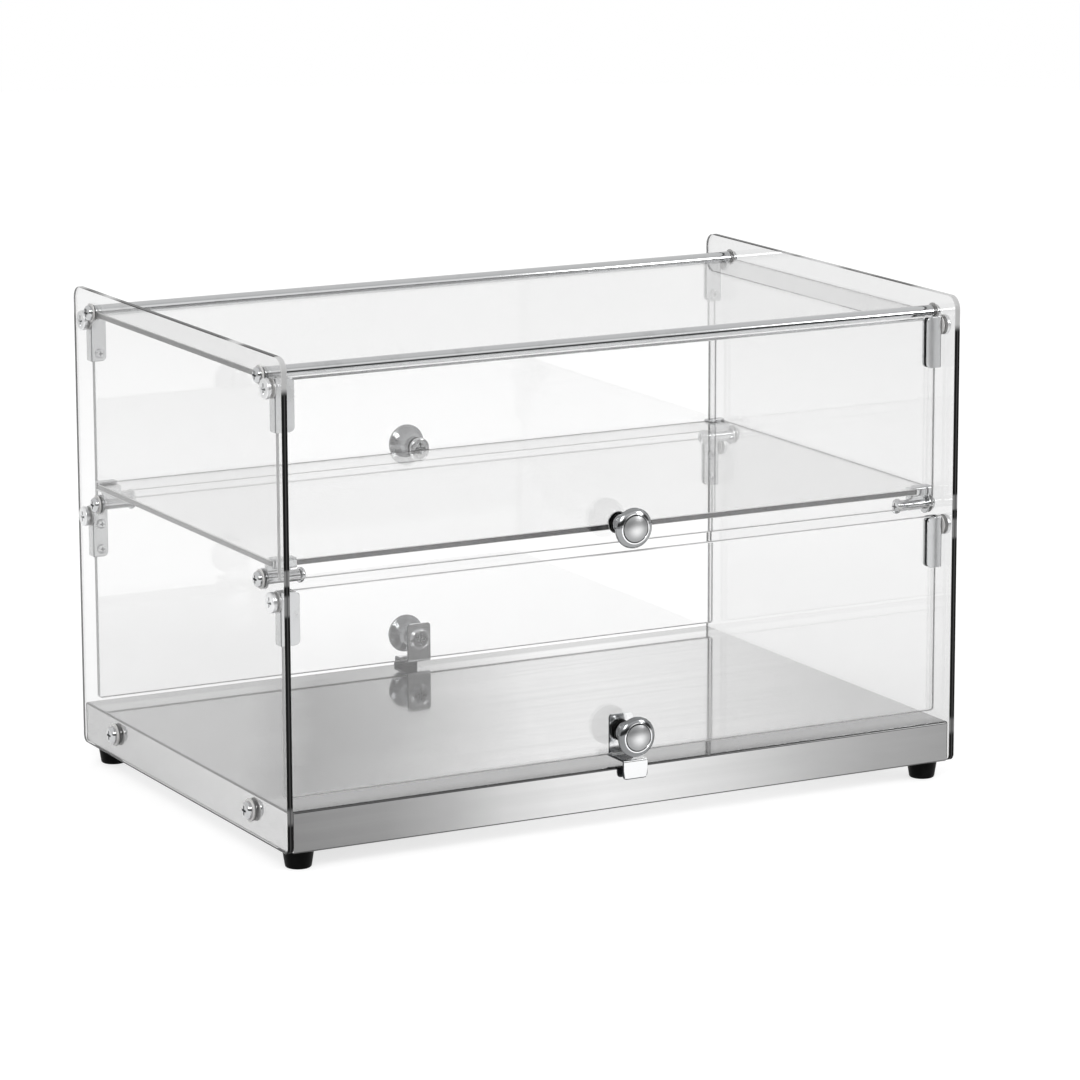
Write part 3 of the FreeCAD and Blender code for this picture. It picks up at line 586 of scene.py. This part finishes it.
def add_piece(node, bm, body, finishes, scale=MM, sharp=32):
    """Adds a finished piece in place of a CAD node."""
    bmesh.ops.scale(bm, vec=(scale, scale, scale), verts=bm.verts)
    mesh = bpy.data.meshes.new(f"shown_{node}")
    bm.to_mesh(mesh)
    bm.free()
    if "custom_normal" in mesh.attributes:
        mesh.attributes.remove(mesh.attributes["custom_normal"])
    mesh.shade_smooth()
    mesh.set_sharp_from_angle(angle=math.radians(sharp))
    for finish in finishes:
        mesh.materials.append(finish)
    piece = bpy.data.objects.new(f"shown_{node}", mesh)
    bpy.context.scene.collection.objects.link(piece)
    flat = piece.modifiers.new("flat_faces", "WEIGHTED_NORMAL")
    flat.keep_sharp = True
    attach(piece, body)
    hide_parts(node)


def dress(node, finish):
    """Gives a CAD node a finish."""
    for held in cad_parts[node].material_slots:
        held.material = finish


def at(x=0, y=0, z=0, turn=0):
    """A place, turned about Z by some degrees."""
    return Matrix.Translation((x, y, z)) @ Matrix.Rotation(math.radians(turn), 4, "Z")


# Glass

def make_pane(node, body, thin, face, edge, arris):
    """A pane with its edge, its arris and the walls of its holes in finishes of their own."""
    bm = bmesh.new()
    bm.from_mesh(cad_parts[node].data)
    bmesh.ops.remove_doubles(bm, verts=bm.verts, dist=0.000001)
    reach = [max(vert.co[axis] for vert in bm.verts) for axis in range(3)]
    start = [min(vert.co[axis] for vert in bm.verts) for axis in range(3)]
    flat = [axis for axis in range(3) if axis != thin]
    for part in bm.faces:
        facing = abs(part.normal[thin])
        middle = part.calc_center_median()
        inset = min(min(reach[axis] - middle[axis], middle[axis] - start[axis]) for axis in flat)
        if facing > 0.95:
            part.material_index = 0
        elif inset > 5 * MM:
            part.material_index = 3
        else:
            part.material_index = 1 if facing < 0.3 else 2
    add_piece(node, bm, body, [face, edge, arris, HOLE_WALL], scale=1)


def make_panes():
    make_pane("left_side_pane", "case", 0, LEFT_GLASS, SIDE_EDGE_PAINTED, SIDE_ARRIS_PAINTED)
    make_pane("right_side_pane", "case", 0, RIGHT_GLASS, SIDE_EDGE_PAINTED, SIDE_ARRIS_PAINTED)
    make_pane("top_pane", "case", 2, TOP_GLASS, TOP_EDGE, PALE_ARRIS)
    make_pane("shelf_pane", "case", 2, SHELF_GLASS, SHELF_EDGE_PAINTED_SHADE, PALE_ARRIS)
    for end, _ in ENDS:
        for tier in TIERS:
            door = f"{end}_{tier}_door"
            make_pane(f"{door}_pane", door, 1, DOOR_GLASS[door], DOOR_EDGE, PALE_ARRIS)


def make_rods():
    """The rods, with their turned ends in a paler finish."""
    for end, _ in ENDS:
        bm = bmesh.new()
        bm.from_mesh(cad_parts[f"{end}_top_rod"].data)
        bmesh.ops.remove_doubles(bm, verts=bm.verts, dist=0.000001)
        for face in bm.faces:
            face.material_index = 1 if abs(face.normal.x) > 0.3 else 0
        for vert in bm.verts:
            limit = (PANE_INSIDE - OFF) * MM
            vert.co.x = max(-limit, min(limit, vert.co.x))
        add_piece(f"{end}_top_rod", bm, "case", [CHROME, PIVOT], scale=1)


# Base

def make_base_tray():
    """A folded tray, open below within its return flanges."""
    bm = bmesh.new()
    half = Vector((245.95, 166.5, 14))
    flange = 24
    fold = 1.8
    bmesh.ops.create_cube(bm, size=2)
    bmesh.ops.scale(bm, vec=half, verts=bm.verts)
    under = [face for face in bm.faces if face.normal.z < -0.9]
    bmesh.ops.inset_region(bm, faces=under, thickness=flange, use_even_offset=True)
    bmesh.ops.delete(bm, geom=under, context="FACES")
    bmesh.ops.recalc_face_normals(bm, faces=bm.faces)
    soften(bm, fold, 5)
    bmesh.ops.solidify(bm, geom=bm.faces[:], thickness=1)
    move(bm, at(z=27))
    add_piece("base_tray", bm, "case", [BRUSHED_STEEL_PAINTED_SHEEN])


def make_feet():
    profile = [
        (FOOT_SINK, 0), (FOOT_SINK, 4.75), (0.5, 4.75), (0.1, 4.95), (0, 5.3), (0, 7.4), (0.12, 7.9),
        (0.5, 8.4), (1.2, 8.7), (12.2, 10.42), (12.75, 10.4), (13, 10.1), (13, 0),
    ]
    for end, along in ENDS:
        for side, across in SIDES:
            bm = move(turned(profile, 56), at(across * FOOT[0], along * FOOT[1]) @ UPRIGHT)
            add_piece(f"{end}_{side}_foot", bm, "case", [RUBBER])


# Screws

def cross_head_screw(shank, length, head, height, dome, threaded=True):
    """A screw along X with its head on the -X side: a domed edge, a tapered cross recess and a shank."""
    flat = head / 2 - dome
    profile = []
    for step in range(6):
        turn = math.radians(18 * step)
        profile.append((-height + dome * (1 - math.cos(turn)), flat + dome * math.sin(turn)))
    profile += [(-0.2, head / 2), (0, head / 2 - 0.2), (0, shank / 2)]
    if threaded:
        pitch = 0.8
        for turn in range(1, int(length / pitch) - 1):
            profile += [(pitch * turn, shank / 2), (pitch * (turn + 0.5), shank / 2 - 0.3)]
    profile += [(length - 0.5, shank / 2), (length, shank / 2 - 0.5), (length, 0)]
    bm = turned(profile, 36)
    rim = [edge for edge in bm.edges if edge.is_boundary]

    arm = head * 0.26
    slot = head * 0.06
    facing = Matrix.Translation((-height, 0, 0)) @ Matrix.Rotation(math.radians(-90), 4, "Y")
    grid = bmesh.ops.create_grid(bm, x_segments=3, y_segments=3, size=arm, matrix=facing)["verts"]
    for axis in (1, 2):
        inner = [vert for vert in grid if abs(vert.co[axis]) < arm / 2]
        vec = [1, 1, 1]
        vec[axis] = slot * 3 / arm
        bmesh.ops.scale(bm, vec=vec, verts=inner)
    cells = [face for face in bm.faces if all(vert in grid for vert in face.verts)]
    corners = []
    for face in cells:
        middle = face.calc_center_median()
        if min(abs(middle.y), abs(middle.z)) > slot:
            corners.append(face)
    bmesh.ops.delete(bm, geom=corners, context="FACES")
    cross = [face for face in cells if face.is_valid]
    mouth = [edge for edge in bm.edges if edge.is_boundary and edge not in rim]
    bmesh.ops.bridge_loops(bm, edges=rim + mouth)
    sunk = bmesh.ops.extrude_face_region(bm, geom=cross)["geom"]
    bmesh.ops.delete(bm, geom=[face for face in cross if face.is_valid], context="FACES_ONLY")
    # The recess takes a screw's second finish, which is painted shade for most screws
    floor = [part for part in sunk if isinstance(part, bmesh.types.BMVert)]
    for vert in floor:
        for face in vert.link_faces:
            face.material_index = 1
    bmesh.ops.translate(bm, verts=floor, vec=(height * 0.55, 0, 0))
    bmesh.ops.scale(bm, vec=(1, 0.62, 0.62), verts=floor)
    bmesh.ops.recalc_face_normals(bm, faces=bm.faces)
    return bm


def outside_places(spots, lift):
    """Places outside both side panes, looking inwards, for each (y, z) at the front and at the rear."""
    places = []
    for _, across in SIDES:
        for _, along in ENDS:
            for y, z in spots:
                places.append(at(across * (PANE_OUTSIDE + lift), along * y, z, 0 if across < 0 else 180))
    return places


def make_case_screws():
    places = outside_places([ROD, BARREL], PANE_WASHER)
    for _, across in SIDES:
        for _, along in ENDS:
            x = across * (PANE_INSIDE - BARREL_LENGTH)
            places.append(at(x, along * BARREL[0], BARREL[1], 180 if across < 0 else 0))
    pan = repeat(cross_head_screw(4, 11, 10.5, 3.2, 2.2), places)
    add_piece("pane_and_clip_screws", pan, "case", [PLATED, RECESS_SHADE])
    base = repeat(cross_head_screw(5, 12, 12, 3.6, 2.5), outside_places([BASE_SCREW], BASE_WASHER))
    add_piece("base_screws", base, "case", [PLATED, RECESS_SHADE])
    under = [
        at(across * FOOT[0], along * FOOT[1], FOOT_SINK) @ UPRIGHT for _, across in SIDES for _, along in ENDS
    ]
    foot = repeat(cross_head_screw(5, 14, 8, 2.6, 1.6), under)
    add_piece("foot_screws", foot, "case", [PLATED, RECESS_SHADE])


def washer(outer, inner, thick, edge):
    """A ring along X from its origin towards -X, with rounded edges."""
    return turned(
        [
            (0, inner), (0, outer - edge), (-edge * 0.3, outer - edge * 0.3), (-edge, outer),
            (-thick + edge, outer), (-thick + edge * 0.3, outer - edge * 0.3), (-thick, outer - edge),
            (-thick, inner), (0, inner),
        ]
    )


def make_case_washers():
    ring = repeat(washer(6.5, 2.1, PANE_WASHER - OFF, 0.3), outside_places([ROD, BARREL], OFF))
    add_piece("pane_washers", ring, "case", [NYLON])
    ring = repeat(washer(7.75, 2.6, BASE_WASHER - OFF, 0.3), outside_places([BASE_SCREW], OFF))
    add_piece("base_washers", ring, "case", [NYLON])


def make_bushes():
    """The pivots' bushes, kept off the panes."""
    bm = bmesh.new()
    bm.from_mesh(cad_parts["pivot_bushes"].data)
    bmesh.ops.remove_doubles(bm, verts=bm.verts, dist=0.000001)
    for vert in bm.verts:
        for face, shift in ((PANE_OUTSIDE, OFF), (PANE_INSIDE, -OFF)):
            if abs(abs(vert.co.x) - face * MM) < OFF * MM / 2:
                vert.co.x = math.copysign((face + shift) * MM, vert.co.x)
    add_piece("pivot_bushes", bm, "case", [NYLON], scale=1)


# Shelf clips

def make_shelf_clips():
    """A bent cap that hugs the shelf's edge, carried by a flanged barrel."""
    width = 13
    aside = 8.7
    seat = 9 - OFF
    outline = [
        (-2, 0), (2, 0), (2, seat), (-10.7, seat), (-10.7, 13.2), (-3.7, 13.2), (-3.7, 14.4), (-11.9, 14.4),
        (-11.9, 7.8), (-2, 7.8),
    ]
    flanged = [
        (OFF, 0), (OFF, 6.5), (0.25, 6.75), (0.95, 6.75), (1.2, 6.5), (1.2, 4), (BARREL_LENGTH - 1.2, 4),
        (BARREL_LENGTH - 0.4, 3.8), (BARREL_LENGTH, 3.3), (BARREL_LENGTH, 0),
    ]
    for end, along in ENDS:
        for side, across in SIDES:
            hand = -across * along
            bm = strip(outline, width)
            bevel(bm, edges_at(bm, 0, [(-11.9, 14.4), (-11.9, 7.8)]), 1.5, 4)
            bevel(bm, edges_at(bm, 2, [(half, -3.7) for half in (-width / 2, width / 2)]), 1.8, 4)
            soften(bm, 0.25)
            move(bm, at(x=-hand * aside))
            join(bm, move(turned(flanged), at(turn=180 if hand > 0 else 0)))
            move(bm, at(across * PANE_INSIDE, along * BARREL[0], BARREL[1], 0 if along < 0 else 180))
            add_piece(f"{end}_{side}_shelf_clip", bm, "case", [CHROME])


# Doors. A door's pieces are made about the middle of its pivot axis, with the outside towards -Y.

def door_place(along, size):
    return at(0, along * size.set_back, size.pivot, 0 if along < 0 else 180)


def make_door_clips(door, place):
    """Polished channels that grip the upper corners of the glass."""
    top = 6.5
    height = 35
    slot = 2.5
    for side, across in SIDES:
        outer, mouth, inner = (across * reach for reach in (CLIP_OUTSIDE, CLIP_MOUTH, CLIP_WALL))
        outline = [
            (outer, -CLIP_HALF), (mouth, -CLIP_HALF), (mouth, -slot), (inner, -slot), (inner, slot),
            (mouth, slot), (mouth, CLIP_HALF), (outer, CLIP_HALF),
        ]
        bm = move(strip(outline, height), at(z=top - height / 2) @ UPRIGHT)
        bevel(bm, edges_at(bm, 1, [(mouth, top - height), (mouth, top)]), 3.5, 6)
        soften(bm, 0.6, 3)
        # Painted shade: the channel's outer corners and its inside take a near-black finish
        for face in bm.faces:
            middle = face.calc_center_median()
            corner = abs(middle.x) > 244.2 and min(abs(face.normal.x), abs(face.normal.y)) > 0.2
            inside = abs(middle.x) < 244 and abs(middle.y) < 2.6 and abs(face.normal.z) < 0.5
            face.material_index = 1 if corner or inside else 0
        add_piece(f"{door}_{side}_clip", move(bm, place), door, [CLIP_CHROME, CLIP_CORNER_SHADE])


def make_knob(door, place, tier, drop):
    """A turned mushroom knob: foot, waist, flare, rim, ring, groove and satin face. Its plating is painted
    dark as painted shade, its ring bright as a painted highlight and its groove nearly black as painted
    shade.
    """
    profile = [
        (-2, 0), (-2, 6.4), (-2.35, 6.75), (-3.4, 6.75), (-3.75, 6.5), (-5.5, 6.12), (-8, 6), (-9.8, 6.25),
        (-11.6, 6.95), (-13.2, 8), (-14.6, 9.35), (-15.8, 10.9), (-16.6, 12.2), (-17.1, 13.1), (-17.6, 13.42),
        (-18.2, 13.5), (-18.8, 13.42), (-19.5, 12.95), (-20.3, 12.1), (-20.9, 11.1), (-21.2, 10.2),
        (-21.45, 9.75), (-21.5, 9.45), (-21.35, 9.3), (-20.9, 9.3), (-20.9, 8.8), (-21.3, 8.8), (-21.65, 8.6),
        (-22.2, 7.4), (-22.75, 5.8), (-23.2, 3.9), (-23.43, 2), (-23.5, 0),
    ]
    bm = turned([(along - KNOB_WASHER, radius) for along, radius in profile], 64)
    reach = bm.verts.layers.float.new("reach")
    for vert in bm.verts:
        vert[reach] = math.hypot(vert.co.y, vert.co.z)
    # Painted highlight on the face, painted shade in the groove, painted highlight on the ring
    for face in bm.faces:
        middle = face.calc_center_median()
        radius = math.hypot(middle.y, middle.z)
        if middle.x < -22 and radius < 10.3:
            face.material_index = 1 if radius < 8.78 else 2 if radius < 9.35 else 3
    move(bm, place @ at(z=drop, turn=90))
    add_piece(f"{door}_knob", bm, door, [KNOB_CHROME_SHADED[tier], KNOB_FACE_HIGHLIGHT, GROOVE_SHADE, KNOB_RING_HIGHLIGHT])
    ring = washer(7.25, 2.6, KNOB_WASHER, 0.45)
    move(ring, place @ at(y=-HALF_GLASS, z=drop, turn=90))
    add_piece(f"{door}_knob_washer", ring, door, [RUBBER])


def make_stop_plate(door, place, drop, bottom):
    """A strip bent twice: up the inner face of the glass, out under the door and down before the base."""
    width = 18
    back = HALF_GLASS + OFF
    rear = HALF_GLASS + STOP_SHEET
    front = -19.5
    inner = front + STOP_SHEET
    top = drop + 11.5
    under = bottom - 0.2
    low = under - STOP_SHEET
    end = under - 13.5
    outline = [
        (back, top), (back, under), (front, under), (front, end), (inner, end), (inner, low), (rear, low),
        (rear, top),
    ]
    bm = strip(outline, width)
    bevel(bm, edges_at(bm, 0, [(back, under), (inner, low)]), 0.6, 3)
    bevel(bm, edges_at(bm, 0, [(rear, low), (front, under)]), 1.9, 5)
    corners = [(half, height) for half in (-width / 2, width / 2) for height in (top, end)]
    bevel(bm, edges_at(bm, 1, corners), 2.5, 5)
    rim = []
    for edge in bm.edges:
        outside = all(vert.co.y < front + 0.1 and vert.co.z < end + 2.6 for vert in edge.verts)
        if outside and edge.calc_face_angle() > 1:
            rim.append(edge)
    bevel(bm, rim, 0.8, 2)
    soften(bm, 0.2)
    # Painted shade: the cut edges, the lower end's underside and the back take a near-black finish
    for face in bm.faces:
        middle = face.calc_center_median()
        below = middle.z < end + 3.5 and face.normal.z < -0.3
        behind = middle.y < front / 2 and face.normal.y > 0.3
        face.material_index = 1 if abs(face.normal.x) > 0.3 or below or behind else 0
    add_piece(f"{door}_stop_plate", move(bm, place), door, [POLISHED, CUT_EDGE_SHADE])


def make_door_screws(door, place, size, sheet):
    """Pivot screws outside the side panes, clamp screws in the clips, and the knob's screw on its sheet."""
    pivot_seat = PANE_OUTSIDE + 0.6
    clamp_middle = 238.9
    pivots = [place @ at(x=across * pivot_seat, turn=0 if across < 0 else 180) for _, across in SIDES]
    pivot_screw = cross_head_screw(4, 8.2, 13.5, 3, 1, threaded=False)
    for face in pivot_screw.faces:
        if face.normal.x > 0.9 and face.calc_center_median().x < 1:
            face.material_index = 2
    bm = repeat(pivot_screw, pivots)
    add_piece(f"{door}_pivot_screws", bm, door, [PIVOT, PLATED, NYLON])
    clamps = [
        place @ at(across * clamp_middle, CLIP_HALF, height - size.pivot, -90)
        for _, across in SIDES
        for height in size.clamps
    ]
    bm = repeat(cross_head_screw(3, 1.8, 6.5, 1.8, 1.2, threaded=False), clamps)
    add_piece(f"{door}_clamp_screws", bm, door, [PLATED, RECESS_SHADE])
    bm = cross_head_screw(5, sheet + 14, 15, 2.2, 1.6)
    move(bm, place @ at(y=HALF_GLASS + sheet, z=size.knob - size.pivot, turn=-90))
    add_piece(f"{door}_knob_screw", bm, door, [PLATED, KNOB_RECESS_SHADE])


def make_doors():
    for end, along in ENDS:
        for tier, size in TIERS.items():
            door = f"{end}_{tier}_door"
            place = door_place(along, size)
            drop = size.knob - size.pivot
            make_door_clips(door, place)
            make_knob(door, place, tier, drop)
            make_door_screws(door, place, size, STOP_SHEET if tier == "lower" else 0)
            dress(f"{door}_clip_liners", RUBBER)
            if tier == "lower":
                make_stop_plate(door, place, drop, size.bottom - size.pivot)


# Stage

def make_floor():
    """A pale floor that shows white to the camera and through glass, falls off in the distance for metal to
    mirror, and keeps the shadow."""
    bm = bmesh.new()
    bmesh.ops.create_circle(bm, cap_ends=True, radius=4, segments=96)
    mesh = bpy.data.meshes.new("floor")
    bm.to_mesh(mesh)
    bm.free()
    floor = bpy.data.objects.new("floor", mesh)
    bpy.context.scene.collection.objects.link(floor)
    material, nodes, shader = start_finish("floor_paper")
    path = nodes.add("ShaderNodeLightPath", output="Is Camera Ray")
    away = nodes.add("ShaderNodeVectorMath", {"operation": "LENGTH"}, {0: nodes.place()}, output="Value")
    near = nodes.between(away, 1.2, 3.5, 1, 0)
    mirrored = path.beside("Is Glossy Ray") * near
    seen = path.top(mirrored).top(path.beside("Is Transmission Ray"))
    paper = nodes.between(nodes.grain(40), 0.3, 0.7, 0, 0.05)
    nodes.fill(
        shader,
        {
            "Base Color": nodes.blend(near - paper, grey(0.08), grey(0.42)),
            "Roughness": 0.9,
            "Specular IOR Level": 0,
        },
    )
    glare = nodes.blend(near, grey(1), grey(0.7))
    glow = nodes.add("ShaderNodeEmission", {}, {"Color": glare, "Strength": seen})
    both = nodes.add("ShaderNodeAddShader", {}, {0: Level(nodes, shader.outputs[0]), 1: glow})
    nodes.fill(nodes.tree.nodes["Material Output"], {"Surface": both})
    mesh.materials.append(material)


def light_world():
    """A soft studio: white to the camera and through glass. Before the case, metal mirrors a dim room above
    the horizon with a bright lamp strip over it."""
    world = bpy.data.worlds.new("studio")
    bpy.context.scene.world = world
    nodes = Nodes(world)
    path = nodes.add("ShaderNodeLightPath", output="Is Camera Ray")
    way = nodes.add("ShaderNodeTexCoord", output="Generated")
    parts = nodes.add("ShaderNodeSeparateXYZ", {}, {0: way})
    height = parts.beside("Z") * 0.5 + 0.5
    stops = [
        (0, 0.8), (0.49, 0.8), (0.52, 0.05), (0.63, 0.06), (0.7, 0.7), (0.74, 1.25), (0.81, 1.25),
        (0.86, 0.8), (1, 0.8),
    ]
    front = nodes.add("ShaderNodeValToRGB", {"stops": stops}, {"Fac": height})
    ahead = nodes.between(parts.beside("Y"), -0.45, -0.1, 1, 0)
    studio = nodes.blend(ahead, grey(0.92), front)
    straight = nodes.between(path.beside("Glossy Depth"), 0, 1, 1, 0)
    seen = path.top(path.beside("Is Transmission Ray") * straight)
    shown = nodes.blend(seen, studio, grey(1))
    nodes.fill(nodes.tree.nodes["Background"], {"Color": shown, "Strength": 1})


def add_lamp(name, place, aim, size, power):
    """A soft square lamp that faces a point."""
    data = bpy.data.lights.new(name, "AREA")
    data.energy = power
    data.size = size
    lamp = bpy.data.objects.new(name, data)
    turn = (Vector(aim) - Vector(place)).to_track_quat("-Z", "Y")
    lamp.matrix_world = Matrix.Translation(place) @ turn.to_matrix().to_4x4()
    bpy.context.scene.collection.objects.link(lamp)


def place_camera():
    """Puts the camera where it sees the case as the photograph does. It is turned about Z, raised and rolled,
    and stands aside, above and away from a point over the floor, in metres."""
    turn, rise, roll = (math.radians(angle) for angle in (-27.85, 12.06, -0.19))
    aside, above, away = 0.01728, 0.14482, 3.352
    aim = Vector((0, 0, 0.013))
    back = Vector((math.sin(turn) * math.cos(rise), -math.cos(turn) * math.cos(rise), math.sin(rise)))
    level = Vector((0, 0, 1)).cross(back).normalized()
    upright = back.cross(level)
    right = math.cos(roll) * level + math.sin(roll) * upright
    up = math.cos(roll) * upright - math.sin(roll) * level
    data = bpy.data.cameras.new("camera")
    data.sensor_width = 36
    data.lens = 162.45
    camera = bpy.data.objects.new("camera", data)
    camera.matrix_world = Matrix((right, up, back)).transposed().to_4x4()
    camera.matrix_world.translation = aim + aside * right + above * up + away * back
    bpy.context.scene.collection.objects.link(camera)
    bpy.context.scene.camera = camera


make_panes()
make_base_tray()
make_feet()
make_case_screws()
make_case_washers()
make_shelf_clips()
make_doors()
make_rods()
make_bushes()
dress("tray_nuts", PLATED)
make_floor()
light_world()
add_lamp("key_lamp", (-1.3, -1.9, 1.7), (0, 0, 0.2), 0.9, 22)
add_lamp("fill_lamp", (1.6, -1.6, 1.3), (0, 0, 0.2), 0.7, 12)
place_camera()
bpy.context.scene.view_settings.view_transform = "Standard"
